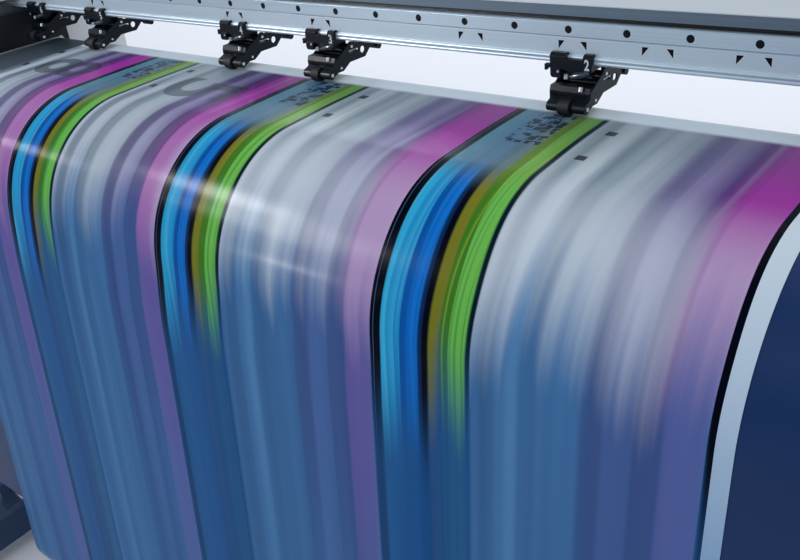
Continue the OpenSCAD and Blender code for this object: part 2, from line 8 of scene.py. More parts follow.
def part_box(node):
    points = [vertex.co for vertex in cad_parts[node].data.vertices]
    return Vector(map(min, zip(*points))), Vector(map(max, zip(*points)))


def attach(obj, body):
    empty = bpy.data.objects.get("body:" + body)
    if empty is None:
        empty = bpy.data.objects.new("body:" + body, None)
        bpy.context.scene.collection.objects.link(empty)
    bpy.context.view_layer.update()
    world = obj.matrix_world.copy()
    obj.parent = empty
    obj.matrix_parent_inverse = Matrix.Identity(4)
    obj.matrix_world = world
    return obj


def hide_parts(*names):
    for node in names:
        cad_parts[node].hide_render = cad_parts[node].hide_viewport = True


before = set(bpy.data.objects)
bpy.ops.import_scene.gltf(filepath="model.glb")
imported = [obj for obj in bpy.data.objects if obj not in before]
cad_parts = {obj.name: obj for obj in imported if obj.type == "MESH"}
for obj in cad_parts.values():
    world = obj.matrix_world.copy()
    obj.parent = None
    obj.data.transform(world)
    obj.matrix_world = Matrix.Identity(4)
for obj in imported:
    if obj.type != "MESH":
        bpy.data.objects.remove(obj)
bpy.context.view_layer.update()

# Camera
# The view of the photograph: from the right end, over the apron, down and along the beam. It was found from
# the pitch of the guide rail's holes, so lengths along the beam come out as in the photograph.
camera_place = (0.6952, -0.7600, 1.1994)
camera_turn = 41.435
camera_tilt = 29.073
camera_roll = 6.698
camera_lens = 40.05

camera = bpy.data.objects.new("camera", bpy.data.cameras.new("camera"))
camera.data.lens = camera_lens
camera.data.sensor_width = 36
camera.data.clip_start = 0.02
camera.matrix_world = (
    Matrix.Translation(camera_place)
    @ Matrix.Rotation(math.radians(camera_turn), 4, "Z")
    @ Matrix.Rotation(math.radians(90 - camera_tilt), 4, "X")
    @ Matrix.Rotation(math.radians(-camera_roll), 4, "Z")
)
bpy.context.scene.collection.objects.link(camera)
bpy.context.scene.camera = camera

# Stand
# Legs, foot beams and crossbars are steel tube in a satin dark blue powder coat. The levelling feet are zinc
# plated, and carry the foot beams on studs.


class Wire:
    """One socket of a material's nodes. Arithmetic on wires and numbers adds the Math nodes for it."""

    def __init__(self, tree, socket=None):
        self.tree = tree
        self.socket = socket

    def node(self, kind, settings=None, inputs=None, output=0):
        """Adds a node, sets it up, gives its sockets their values or links, and returns one output."""
        added = self.tree.nodes.new("ShaderNode" + kind)
        for name, value in (settings or {}).items():
            if name != "stops":
                setattr(added, name, value)
                continue
            ramp = added.color_ramp
            ramp.elements.remove(ramp.elements[1])
            for at, colour in value:
                element = ramp.elements[0] if at == value[0][0] else ramp.elements.new(at)
                element.position = at
                element.color = colour
        for key, value in (inputs or {}).items():
            if isinstance(value, Wire):
                self.tree.links.new(value.socket, added.inputs[key])
            else:
                added.inputs[key].default_value = value
        return Wire(self.tree, added.outputs[output]) if added.outputs else None

    def math(self, operation, first, second=0.0):
        return self.node("Math", {"operation": operation}, {0: first, 1: second})

    def __add__(self, other):
        return self.math("ADD", self, other)

    def __sub__(self, other):
        return self.math("SUBTRACT", self, other)

    def __rsub__(self, other):
        return self.math("SUBTRACT", other, self)

    def __mul__(self, other):
        return self.math("MULTIPLY", self, other)

    def __truediv__(self, other):
        return self.math("DIVIDE", self, other)

    def __mod__(self, other):
        return self.math("FLOORED_MODULO", self, other)

    def __lt__(self, other):
        return self.math("LESS_THAN", self, other)

    def __gt__(self, other):
        return self.math("GREATER_THAN", self, other)

    __radd__ = __add__
    __rmul__ = __mul__

    def __abs__(self):
        return self.math("ABSOLUTE", self)

    def least(self, other):
        return self.math("MINIMUM", self, other)

    def root(self):
        return self.math("SQRT", self)

    def between(self, low, high):
        """0 up to low, 1 from high on, and smooth between them."""
        return self.node("MapRange", {"interpolation_type": "SMOOTHSTEP"},
                         {"Value": self, "From Min": low, "From Max": high})

    def mix(self, first, second):
        """The first colour where this wire is 0, the second where it is 1."""
        return self.node("Mix", {"data_type": "RGBA"}, {0: self, 6: first, 7: second}, 2)

    def axis(self, name):
        return self.node("SeparateXYZ", None, {0: self}, name)

    def noise(self, scale, detail=2.0, stretch=(1, 1, 1)):
        """Noise on these coordinates: scale is in patches a metre, and stretch multiplies it on each axis."""
        squeezed = self.node("Mapping", None, {"Vector": self, "Scale": stretch})
        return self.node("TexNoise", None, {"Vector": squeezed, "Scale": scale, "Detail": detail})


def tone(red, green, blue):
    """A screen colour, 0 to 255, as the linear colour that a shader takes."""
    linear = [v / 255 / 12.92 if v <= 10 else ((v / 255 + 0.055) / 1.055) ** 2.4 for v in (red, green, blue)]
    return (*linear, 1.0)


def new_finish(name):
    """A bare material, and a wire with its Object coordinates."""
    material = bpy.data.materials.new(name)
    material.use_nodes = True
    material.node_tree.nodes.clear()
    return material, Wire(material.node_tree).node("TexCoord", output="Object")


def shade(at, colour, roughness, metallic=0.0, relief=None, depth=0.0001, edge=0.0006, **constants):
    """Ends a material. Edges are rounded by a small radius, and relief stands out by a depth in metres."""
    normal = at.node("Bevel", {"samples": 4}, {"Radius": edge})
    if relief is not None:
        normal = at.node("Bump", None, {"Distance": depth, "Height": relief, "Normal": normal})
    inputs = {"Base Color": colour, "Roughness": roughness, "Metallic": metallic, "Normal": normal}
    inputs.update({name.replace("_", " "): value for name, value in constants.items()})
    at.node("OutputMaterial", None, {0: at.node("BsdfPrincipled", None, inputs)})


def dress(material, *names):
    """Gives CAD nodes their material."""
    for name in names:
        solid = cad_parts[name].data
        solid.materials.clear()
        solid.materials.append(material)


def worn_edges(at, radius=0.0015):
    """1 on sharp edges and 0 on flats, from how far a rounded normal leans off the true one."""
    lean = at.node("VectorMath", {"operation": "DOT_PRODUCT"}, {
        0: at.node("Bevel", {"samples": 4}, {"Radius": radius}),
        1: at.node("NewGeometry", output="Normal")}, "Value")
    return (1.0 - lean).between(0.02, 0.2)


def powder_coat(name, colour, roughness):
    """Sprayed powder: a fine orange peel, a slightly cloudy tone and edges rubbed lighter."""
    material, at = new_finish(name)
    cloudy = at.noise(6, 3)
    peel = at.noise(900)
    light = tuple(1.35 * c + 0.01 for c in colour[:3]) + (1.0,)
    rubbed = worn_edges(at) * at.noise(60, 3).between(0.45, 0.6)
    shade(at, rubbed.mix(cloudy.mix(colour, light), tone(84, 102, 122)), 0.1 * cloudy + roughness,
          relief=peel, depth=0.00005, IOR=1.35)
    return material


stand_paint = powder_coat("stand_paint", tone(24, 48, 78), 0.36)
dress(stand_paint, "foot_beams", "legs", "stand_crossbars", "supply_brackets", "take_up_brackets")

zinc, at = new_finish("zinc")
spangle = at.noise(120, 3)
shade(at, spangle.mix(tone(150, 152, 156), tone(186, 188, 190)), 0.15 * spangle + 0.3, 1.0,
      relief=at.noise(500), depth=0.00003)
dress(zinc, "levelling_feet")

# Bed beam, platen and apron ribs
# Aluminium extrusions, anodised grey, with fine draw lines along the machine. The platen's face is darker and
# grooved from front to back, and bright trims close its two ends.


def drawn_aluminium(name, colour, light, roughness, edge=0.0006, metallic=1.0):
    """Anodised aluminium with the draw lines of the extrusion along X."""
    material, at = new_finish(name)
    lines = at.noise(700, 2, (0.004, 1, 1))
    patches = at.noise(3, 2, (0.3, 1, 1))
    shade(at, (0.6 * lines + 0.4 * patches).mix(colour, light), 0.12 * lines + roughness, metallic,
          relief=lines, depth=0.00002, edge=edge)
    return material


bed_aluminium = drawn_aluminium("bed_aluminium", tone(128, 136, 146), tone(160, 168, 178), 0.38)
dress(bed_aluminium, "bed_beam", "apron_ribs")

groove_pitch = 0.012
groove_w = 0.0016
platen_finish, at = new_finish("platen_anodised")
# The grooves are painted near black as painted shade, and sunk by a bump.
groove = abs(at.axis("X") % groove_pitch - groove_pitch / 2) < groove_w / 2
facing_up = at.node("NewGeometry", output="Normal").axis("Z") > 0.9
shaded_grooves = groove * facing_up
anodised = at.noise(300, 2, (1, 0.02, 1)).mix(tone(84, 98, 110), tone(104, 120, 132))
shade(at, shaded_grooves.mix(anodised, tone(20, 26, 32)), 0.4, 0.9, relief=1.0 - shaded_grooves, depth=0.0005)
dress(platen_finish, "platen")

bright_trim = drawn_aluminium("bright_trim", tone(196, 202, 208), tone(228, 232, 236), 0.22, 0.0003)
dress(bright_trim, "platen_rims")

# Apron and rear guide
# Folded steel sheet in a satin navy coat. The web comes in over the rear guide and slides down over the
# apron, which the ribs carry.

apron_paint = powder_coat("apron_paint", tone(0, 42, 90), 0.3)
dress(apron_paint, "apron", "rear_guide")

# Feed shaft and spindles
# Ground steel, with fine turning marks round each shaft. The feed shaft lies under the web below the pinch
# rollers, and the two spindles carry the rolls.

shaft_steel, at = new_finish("shaft_steel")
turned = at.noise(1800, 1, (1, 0.01, 0.01))
shade(at, turned.mix(tone(176, 180, 186), tone(214, 218, 222)), 0.12 * turned + 0.2, 1.0, relief=turned,
      depth=0.00001)
dress(shaft_steel, "feed_shaft", "supply_spindle", "take_up_spindle")

# Ends
# The side frames are black painted plate, screwed to the machine. The end housings are light grey moulded
# covers with a fine grain. A seam runs round each, and its outer side has a block of air slots.

black_paint = powder_coat("black_paint", tone(20, 24, 30), 0.4)
dress(black_paint, "side_frame_left", "side_frame_right")

housing_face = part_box("end_housing_right")[1].x
face_skin = 0.002
seam_z = 0.985
seam_w = 0.0014
slot_pitch = 0.012
slot_w = 0.0045
slots_y = -0.02
slots_z = 0.9
slots_w = 0.14
slots_h = 0.09
housing_cover, at = new_finish("housing_cover")
grain = at.noise(1400, 3)
stained = at.noise(2.5, 3)
seam = abs(at.axis("Z") - seam_z) < seam_w / 2
outer = abs(at.axis("X")) > housing_face - face_skin
slotted = (abs(at.axis("Y") - slots_y) < slots_w / 2) * (abs(at.axis("Z") - slots_z) < slots_h / 2)
slots = (at.axis("Z") % slot_pitch < slot_w) * slotted
# The seam is a dark joint. The air slots are painted near black as painted shade in the openings, and both
# are sunk by a bump.
seam_and_slot_shade = (seam + slots * outer).least(1.0)
moulded = stained.mix(tone(238, 241, 244), tone(248, 250, 251))
shade(at, seam_and_slot_shade.mix(moulded, tone(24, 26, 30)), 0.1 * grain + 0.5, relief=grain * 0.08 + (1.0 - seam_and_slot_shade),
      depth=0.0012, edge=0.002)
dress(housing_cover, "end_housing_left", "end_housing_right")


def piece(name, made, material, body="root", smooth=False):
    """A dressing piece from a bmesh in the row's frame. It moves with a body."""
    mesh = bpy.data.meshes.new(name)
    for face in made.faces:
        face.smooth = smooth
    for edge in made.edges:
        edge.smooth = not edge.is_boundary
    made.to_mesh(mesh)
    made.free()
    mesh.materials.append(material)
    thing = bpy.data.objects.new(name, mesh)
    bpy.context.scene.collection.objects.link(thing)
    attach(thing, body)
    return thing


def pin(made, centre, axis, radius, length, segments=24):
    """Adds a cylinder with its middle at a centre, along an axis."""
    turned = Vector((0, 0, 1)).rotation_difference(Vector(axis)).to_matrix().to_4x4()
    bmesh.ops.create_cone(made, cap_ends=True, segments=segments, radius1=radius, radius2=radius,
                          depth=length, matrix=Matrix.Translation(centre) @ turned)


screw_places = ((-0.075, 0.905), (-0.02, 0.885), (0.045, 0.885), (0.045, 0.945))
screw_r = 0.0045
screw_h = 0.0016
hexagon_r = 0.0022
hexagon_h = 0.0012
hexagon_out = 0.0020
side_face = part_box("side_frame_right")[0].x
screw_steel, at = new_finish("screw_steel")
shade(at, at.noise(400).mix(tone(150, 156, 164), tone(200, 206, 212)), 0.3, 1.0)
screws = bmesh.new()
for side in (-1, 1):
    for y, z in screw_places:
        pin(screws, (side * (side_face - screw_h / 2), y, z), (1, 0, 0), screw_r, screw_h)
        pin(screws, (side * (side_face - hexagon_out), y, z), (1, 0, 0), hexagon_r, hexagon_h, 6)
piece("side_screws", screws, screw_steel)

# Beam and guide rail
# The beam and its cover are satin anodised extrusions, with an anthracite strip in the face over the rail.
# The rail is ground steel, pressed into the beam's slot, and black caps close its counterbores. Pairs of
# printed arrowheads on the beam's lower face mark where the grit sleeves lie under the web.

rail_low, rail_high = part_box("guide_rail")
rail_z = (rail_low.z + rail_high.z) / 2
face_y = 0.0003
recess_up = 0.0101
recess_h = 0.0052
lip_highlight_up = 0.0079
lip_highlight_h = 0.0006
# The recess between the rail and the strip is painted near black as painted shade, and the thin white line on
# the beam just above the rail is a painted highlight.
beam_aluminium, at = new_finish("beam_aluminium")
lines = at.noise(700, 2, (0.004, 1, 1))
patches = at.noise(3, 2, (0.3, 1, 1))
above_rail = at.axis("Z") - rail_z
recess_shade = (abs(above_rail - recess_up) < recess_h / 2) * (at.axis("Y") > face_y)
lip_highlight = (abs(above_rail - lip_highlight_up) < lip_highlight_h / 2) * (at.axis("Y") < face_y)
drawn = (0.6 * lines + 0.4 * patches).mix(tone(204, 220, 230), tone(228, 240, 246))
shade(at, recess_shade.mix(lip_highlight.mix(drawn, tone(252, 252, 252)), tone(10, 14, 20)),
      0.12 * lines + 0.32, 0.25, relief=lines, depth=0.00002, edge=0.0004)
dress(beam_aluminium, "rail_beam")

cover_finish, at = new_finish("cover_finish")
cover_grain = at.noise(900)
shade(at, at.noise(2, 3, (0.4, 1, 1)).mix(tone(200, 210, 214), tone(222, 230, 234)),
      0.05 * cover_grain + 0.5, 0.2, relief=cover_grain, depth=0.00003, edge=0.0002)
dress(cover_finish, "beam_top_cover")

rail_steel = drawn_aluminium("rail_steel", tone(190, 210, 222), tone(226, 238, 244), 0.26, 0.0003, 0.35)
dress(rail_steel, "guide_rail")

strip_finish, at = new_finish("strip_anthracite")
shade(at, at.noise(500, 2, (0.004, 1, 1)).mix(tone(92, 110, 126), tone(112, 130, 142)), 0.5, 0.3, edge=0.0002)
dress(strip_finish, "beam_face_strip")

hole_x = 0.1545
hole_pitch = 0.060
last_hole = rail_high.x - 0.01
cap_r = 0.0041
cap_h = 0.0022
cap_y = 0.0009
cap_plastic, at = new_finish("cap_plastic")
cap_grain = at.noise(900, 3)
shade(at, cap_grain.between(0.5, 0.75).mix(tone(4, 8, 14), tone(34, 44, 56)), 0.35,
      relief=cap_grain, depth=0.0003, IOR=1.25)
caps = bmesh.new()
reach = int(last_hole / hole_pitch) + 4
for i in range(-reach, reach):
    cap_x = hole_x + i * hole_pitch
    if abs(cap_x) < last_hole:
        pin(caps, (cap_x, cap_y, rail_z), (0, 1, 0), cap_r, cap_h, 32)
piece("rail_caps", caps, cap_plastic)

marks_x = (-0.4995, -0.2025, -0.0525, 0.1605, 0.2785, 0.3645, 0.4505)
mark_pair = 0.0150
mark_w = 0.0066
mark_top = rail_z - 0.0108
mark_low = rail_z - 0.0190

# An arrowhead's light rim is the same shape grown by a width, and its sharp corners move out by more.
rim_w = 0.0007
rim_tip = 1.8
rim_corner = 2.2
print_t = 0.00003
ink_dark, at = new_finish("ink_dark")
shade(at, tone(2, 12, 26), 0.7, IOR=1.2)
ink_light, at = new_finish("ink_light")
shade(at, tone(236, 240, 244), 0.5)
for name, ink, grow, y in (("mark_rims", ink_light, rim_w, -print_t), ("marks", ink_dark, 0.0, -2 * print_t)):
    arrows = bmesh.new()
    for x in marks_x:
        for side in (-1, 1):
            outer_x = x + side * (mark_pair + grow)
            inner_x = x + side * (mark_pair - mark_w - rim_corner * grow)
            corners = ((outer_x, mark_top + grow), (outer_x, mark_low - rim_tip * grow),
                       (inner_x, mark_top + grow))
            turn = corners if side < 0 else corners[::-1]
            arrows.faces.new([arrows.verts.new((cx, y, cz)) for cx, cz in turn])
    piece(name, arrows, ink)

# Printed web
# One length of glossy white vinyl, printed with stripes of ink along it. It comes off the supply roll, bends
# over the platen, runs down the apron and winds onto the take-up roll. It is led on from its inner end on the
# supply roll, so that it keeps its real length, and its texture coordinates are metres on the flat web.

web_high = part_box("printed_web")[1]
web_top = web_high.z
web_w = web_high.x * 2
supply_low, supply_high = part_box("supply_roll")
take_up_low, take_up_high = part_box("take_up_roll")
web_t = 0.0005
roll_gap = 0.0008
platen_back = 0.005
platen_front = 0.154
front_r = 0.133
front_turn = math.radians(84.4)
rear_r = 0.030
wrap = math.radians(335)
fold_step = 0.004
run_step = 0.012
cuts = 74
billow = 0.0005
supply_centre = (supply_low + supply_high) / 2
supply_r = (supply_high.z - supply_low.z) / 2 + roll_gap
way = Vector((supply_centre.y - platen_back, supply_centre.z - (web_top - rear_r)))
rear_turn = math.atan2(-way.y, way.x) - math.asin((supply_r - rear_r) / way.length)
rear_line = math.sqrt(way.length_squared - (supply_r - rear_r) ** 2)
take_up_centre = (take_up_low + take_up_high) / 2
take_up_r = (take_up_high.z - take_up_low.z) / 2 + roll_gap
bend_end = web_top - front_r + front_r * math.cos(front_turn)
drop = (bend_end - take_up_r * math.cos(front_turn) - take_up_centre.z) / math.sin(front_turn)


class Run:
    """A sheet that is led on from an edge, straight or round a bend, and keeps its length along it."""

    def __init__(self, centre, radius, heading):
        self.bm = bmesh.new()
        self.along = self.bm.verts.layers.float.new("along")
        self.heading = heading
        self.length = 0.0
        start = Vector((0, centre.y, centre.z)) + radius * self.outward()
        ends = [self.bm.verts.new((side * web_w / 2, start.y, start.z)) for side in (-1, 1)]
        edge = self.bm.edges.new(ends)
        bmesh.ops.subdivide_edges(self.bm, edges=[edge], cuts=cuts)
        self.row = list(self.bm.edges)

    def outward(self):
        return Vector((0, -math.sin(self.heading), math.cos(self.heading)))

    def lead(self, length, turn=0.0):
        """Leads the edge on by a length, turning down by an angle on the way."""
        steps = math.ceil(length / (fold_step if turn else run_step))
        for _ in range(steps):
            here = self.row[0].verts[0].co
            centre = Vector((0, here.y, here.z)) - (length / turn if turn else 0.0) * self.outward()
            grown = bmesh.ops.extrude_edge_only(self.bm, edges=self.row)["geom"]
            self.row = [g for g in grown if isinstance(g, bmesh.types.BMEdge)]
            fresh = [g for g in grown if isinstance(g, bmesh.types.BMVert)]
            self.length += length / steps
            for vert in fresh:
                vert[self.along] = self.length
            if turn:
                bend = Matrix.Rotation(turn / steps, 3, "X")
                bmesh.ops.rotate(self.bm, verts=fresh, cent=centre, matrix=bend)
                self.heading += turn / steps
            else:
                bmesh.ops.translate(self.bm, verts=fresh, vec=(
                    0, -length / steps * math.cos(self.heading), -length / steps * math.sin(self.heading)))


run = Run(supply_centre, supply_r, -rear_turn - wrap)
run.lead(supply_r * wrap, wrap)
run.lead(rear_line)
run.lead(rear_r * rear_turn, rear_turn)
flat_start = run.length
run.lead(platen_back + platen_front)
run.lead(front_r * front_turn, front_turn)
drop_start = run.length
run.lead(drop)
drop_end = run.length
run.lead(take_up_r * wrap, wrap)

# Where the web hangs it billows out a little between the apron and the take-up roll.
for vert in run.bm.verts:
    at_drop = (vert[run.along] - drop_start) / (drop_end - drop_start)
    if 0 < at_drop < 1:
        ripple = math.sin(vert.co.x * 23) * math.cos(at_drop * 5 + vert.co.x * 9)
        swell = math.sin(math.pi * at_drop) * (1 + ripple)
        vert.co += billow * swell * Vector((0, -math.sin(front_turn), math.cos(front_turn)))
unwrapped = run.bm.loops.layers.uv.new("flat")
for face in run.bm.faces:
    for loop in face.loops:
        loop[unwrapped].uv = (loop.vert.co.x, loop.vert[run.along] - flat_start)
bmesh.ops.recalc_face_normals(run.bm, faces=run.bm.faces)
top_face = max(run.bm.faces, key=lambda face: face.calc_center_median().z)
if top_face.normal.z < 0:
    bmesh.ops.reverse_faces(run.bm, faces=run.bm.faces)

# The print repeats across the web. Lengths here are metres: phase runs across a repeat from the left edge of
# its black double line, and s runs down the web from the platen's rear edge. The inks are listed by the place
# in millimetres where each begins. The first ones have sharp edges, and the others run into each other.
repeat_mm = 299
repeat = repeat_mm / 1000
double_line = 0.2268
last_line = 0.0053
soft_from = 105
sharp = 0.3
black_ink = tone(4, 8, 24)
inks = (
    (0.0, black_ink),
    (11.0, tone(54, 190, 234)), (30.5, tone(10, 98, 180)), (37.5, tone(22, 128, 222)),
    (49.0, tone(12, 48, 92)), (53.0, black_ink),
    (59.6, tone(136, 134, 40)), (69.5, tone(78, 136, 30)), (79.0, tone(122, 206, 88)),
    (94.6, tone(4, 34, 42)), (100.6, tone(192, 204, 208)), (115.0, tone(154, 170, 178)),
    (123.0, tone(200, 212, 216)), (136.0, tone(212, 224, 226)), (149.0, tone(150, 166, 174)),
    (162.0, tone(172, 186, 192)), (180.0, tone(188, 200, 206)), (198.0, tone(166, 174, 188)),
    (209.0, tone(124, 118, 158)), (229.0, tone(150, 138, 180)), (247.0, tone(100, 68, 138)),
    (262.0, tone(180, 60, 172)),
)
web_finish, at = new_finish("web_vinyl")
flat = at.node("UVMap", {"uv_map": "flat"})
x = flat.axis("X")
s = flat.axis("Y")
left_of = 1.0 - x.between(-0.40, -0.12)
left_side = 1.0 - x.between(-0.085, -0.065)
right_side = x.between(0.2, 0.4)
right_part = x.between(0.05, 0.20)
right_edge = x.between(0.40, 0.50)

# On their way down the stripes drift by a few millimetres, and over the bend each repeat draws together.
past_platen = s.between(0.06, 0.20)
on_bend = s.between(0.20, 0.30)
past_bend = s.between(0.31, 0.38)
hanging = s.between(0.33, 0.44)
wander = 0.0056 * past_platen * (1.0 - right_edge) + 0.004 * left_of + 0.0070 * right_edge
wander = wander - 0.009 * hanging * (1.0 - x.between(-0.1, 0.4))
wander = wander - 0.005 * left_of * past_bend + 0.002 * right_part * on_bend
across = x - double_line - wander
phase = across % repeat
stretched = (0.035 - 0.020 * left_side + 0.025 * right_part) * s.between(0.145, 0.30)
phase = phase - stretched * phase.least(0.5 * (repeat - phase))
stops = [(0.0, black_ink)]
for (start, ink), before in zip(inks[1:], inks):
    if start < soft_from:
        stops.append(((start - sharp) / repeat_mm, before[1]))
    stops.append(((start + sharp) / repeat_mm, ink))
stripe = phase.node("ValToRGB", {"stops": stops}, {"Fac": phase / repeat}, "Color")
gap_at = 0.0035
gap_w = 0.0008
stripe = (abs(phase - gap_at) < gap_w / 2).mix(stripe, tone(70, 92, 126))


def band(low, high, soft=0.0006):
    """1 where the phase lies between two lengths in millimetres."""
    return phase.between(low / 1000 - soft, low / 1000 + soft) * (
        1.0 - phase.between(high / 1000 - soft, high / 1000 + soft))


def overprinted(under, *layers):
    """A colour with inks laid over it. Each layer is how far it covers, from 0 to 1, and its tone."""
    for cover, ink in layers:
        under = cover.mix(under, ink)
    return under


fine_streak = flat.noise(1, 2, (260, 1.2, 1))
broad_streak = flat.noise(1, 2, (60, 0.9, 1))
long_streak = flat.noise(1, 2, (22, 0.5, 1))
pale = band(100, repeat_mm, 0.001)
lilac = band(102, 225, 0.006) * broad_streak.between(0.46, 0.62)
streaked = overprinted(
    stripe,
    (lilac * (0.22 + 0.3 * left_of), tone(110, 118, 158)),
    (pale * broad_streak.between(0.42, 0.26) * 0.4, tone(214, 226, 238)),
    (band(70, 95) * fine_streak.between(0.5, 0.58) * 0.5, tone(50, 130, 60)),
    (band(59, 95) * fine_streak.between(0.42, 0.34) * 0.5, tone(176, 206, 70)),
    (band(10.5, 50) * fine_streak.between(0.5, 0.6) * 0.25, tone(10, 60, 120)),
    (band(10.5, 30) * phase.between(0.012, 0.030) * 0.6, tone(20, 130, 206)),
    (band(10.5, 30) * fine_streak.between(0.46, 0.38) * 0.3, tone(120, 210, 230)),
)

# Near the beam the inks from cyan to ochre are greyed, and blocks of small marks lie over them. The rest near
# the beam carries painted shade, except on the far left. Then a painted sheen, a painted reflection that is
# weaker on the left, lightens the light inks over the bend, and down the apron everything takes painted shade
# and turns steel blue.
near = 1.0 - s.between(0.150, 0.205)
in_shade = (1.0 - s.between(0.04, 0.14)) * (1.0 - left_of)
painted_sheen = s.between(0.13, 0.24) * (1.0 - 0.5 * left_side)
grey_bands = band(108, 124, 0.003) + band(146, 164, 0.004)
violet_bands = band(202, 221, 0.003) + band(245, 267, 0.002)
greyed = overprinted(
    streaked,
    (near * band(10.5, 69) * 0.85, tone(98, 132, 146)),
    (near * band(69, 95) * 0.35, tone(150, 156, 62)),
    (in_shade * band(70, repeat_mm) * 0.3, tone(66, 86, 98)),
    (painted_sheen * pale * (0.62 - 0.18 * band(262, repeat_mm, 0.003)), tone(232, 240, 248)),
    (grey_bands * (0.12 + 0.28 * left_side) * s.between(0.06, 0.11), tone(58, 76, 96)),
    (violet_bands * (0.20 + 0.40 * left_side), tone(64, 46, 104)),
    (across > repeat, black_ink),
)

marks_from = 0.022
marks_to = 0.105
square_at = 0.118
square_w = 0.010
square_pitch = 0.062
first_square = 0.049
squares_from = 0.045
squares_to = 0.125
cells = flat.node("TexVoronoi", {"distance": "CHEBYCHEV", "feature": "F1"},
                  {"Vector": flat, "Scale": 110.0, "Randomness": 0.35}, "Distance")
small_marks = band(31, 69) * (cells < 0.42) * (flat.noise(70, 1) > 0.47) * (s > marks_from) * (s < marks_to)
squares = (abs(phase - square_at) < square_w / 2) * ((s - first_square) % square_pitch < square_w)
squares = squares * (s > squares_from) * (s < squares_to)
marked = ((small_marks + squares) * 0.85).mix(greyed, tone(22, 32, 48))

# Down the drop the web carries painted shade: it turns darker and steel blue. The shade sets in later on the
# first inks and on magenta. Under it the stripes only show faintly, and even less low on the drop.
late = 0.12 * band(0, 59, 0.003) + 0.07 * band(59, 100, 0.003)
late = late + 0.03 * band(268, repeat_mm, 0.003) * (1.0 - right_side)
late = late - 0.01 * band(100, repeat_mm, 0.003) * right_side
drop_shading = (s + (long_streak - 0.5) * 0.15 + (broad_streak - 0.5) * 0.12 - late).between(0.240, 0.370)
kept = 1.0 - 0.6 * s.between(0.42, 0.72)
drop_shade_tone = overprinted(
    long_streak.between(0.3, 0.7).mix(tone(46, 106, 160), tone(68, 130, 184)),
    (band(10.5, 100, 0.004) * 0.6, tone(22, 76, 138)),
    (band(0, 10.5, 0.003) * 0.7, tone(14, 48, 96)),
    (band(205, repeat_mm, 0.012) * kept * 0.4, tone(88, 88, 160)),
    (band(268, repeat_mm, 0.003) * kept * (0.5 - 0.3 * right_side), tone(134, 94, 176)),
    (band(135, 146, 0.004) * kept * 0.5, tone(92, 150, 196)),
    (grey_bands * kept * 0.3, tone(34, 76, 120)),
    (violet_bands * kept * 0.35, tone(36, 58, 112)),
)
shaded_print = (drop_shading * 0.95).mix(marked, drop_shade_tone)
printed = s.between(0.017, 0.026) * (across < repeat + last_line)
# The unprinted vinyl is white at the top and carries painted shade, darker and bluer down the drop.
bare = s.between(0.12, 0.6).mix(tone(236, 246, 250), tone(122, 170, 212))
colour = printed.mix(bare, shaded_print)
shade(at, colour, 0.06 * broad_streak + 0.17, relief=fine_streak, depth=0.000008, edge=0.0, IOR=1.12)
web = piece("web", run.bm, web_finish, smooth=True)
thick = web.modifiers.new("thick", "SOLIDIFY")
thick.thickness = web_t
thick.offset = -1
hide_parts("printed_web")

# The big printed digits lie on the flat web before the beam, their tops to the right.
digit_size = (0.066, 0.116)
digit_y = -0.0985
digit_lift = 0.00006
digit_ink, at = new_finish("digit_ink")
shade(at, tone(34, 42, 62), 0.3, Alpha=0.42)


def lettered(name, words, size, material, place, lean, turn, body="root", bold=0.0):
    """A flat word of a given width and height, centred on a place, leant about X and turned about Z."""
    curve = bpy.data.curves.new(name, "FONT")
    curve.body = words
    curve.offset = bold
    curve.align_x = "CENTER"
    curve.align_y = "CENTER"
    made = bmesh.new()
    drawn = bpy.data.objects.new(name, curve)
    bpy.context.scene.collection.objects.link(drawn)
    bpy.context.view_layer.update()
    made.from_mesh(drawn.to_mesh())
    bpy.data.objects.remove(drawn)
    bpy.data.curves.remove(curve)
    top = max(vert.co.y for vert in made.verts)
    low = min(vert.co.y for vert in made.verts)
    left = min(vert.co.x for vert in made.verts)
    right = max(vert.co.x for vert in made.verts)
    spread = size[0] / (right - left), size[1] / (top - low)
    turned = Matrix.Rotation(math.radians(turn), 4, "Z") @ Matrix.Rotation(math.radians(lean), 4, "X")
    made.transform(Matrix.Translation(place) @ turned @ Matrix.Diagonal((*spread, 1, 1))
                   @ Matrix.Translation((-(left + right) / 2, -(top + low) / 2, 0)))
    return piece(name, made, material, body)


for digit, digit_x in (("8", -0.457), ("5", -0.170)):
    lettered("web_digit_" + digit, digit, digit_size, digit_ink, (digit_x, digit_y, web_top + digit_lift),
             0, -90, bold=0.02)

# Rolls
# The supply roll and the take-up roll are vinyl wound on card cores, which sit on the spindles. The windings
# show as fine rings at the ends.

core_r = 0.0422
end_skin = 0.001
roll_finish, at = new_finish("roll_stock")
radii = []
for centre in (supply_centre, take_up_centre):
    up = at.axis("Z") - centre.z
    back = at.axis("Y") - centre.y
    radii.append((up * up + back * back).root())
radius = radii[0].least(radii[1])
rings = radius.node("TexNoise", {"noise_dimensions": "1D"}, {"W": radius, "Scale": 1500.0, "Detail": 2.0})
past_web = abs(at.axis("X")) > web_w / 2 + end_skin
on_core = (radius < core_r) * (abs(at.axis("X")) > web_w / 2 - end_skin)
windings = rings.mix(tone(190, 198, 206), tone(232, 236, 240))
card = at.noise(300, 2).mix(tone(150, 122, 92), tone(172, 144, 112))
shade(at, (past_web + on_core).least(1.0).mix(windings, card), 0.5, relief=rings, depth=0.0004, edge=0.0004)
dress(roll_finish, "supply_roll", "take_up_roll")

# Pinch-roller units
# Clamps and arms are satin black glass-filled nylon, and the rollers have ground rubber tyres. Each unit has
# its number on the right ear, bright pins, a glossy release lever, a steel spring in the arm's slot, and a
# thin shield across the arm.

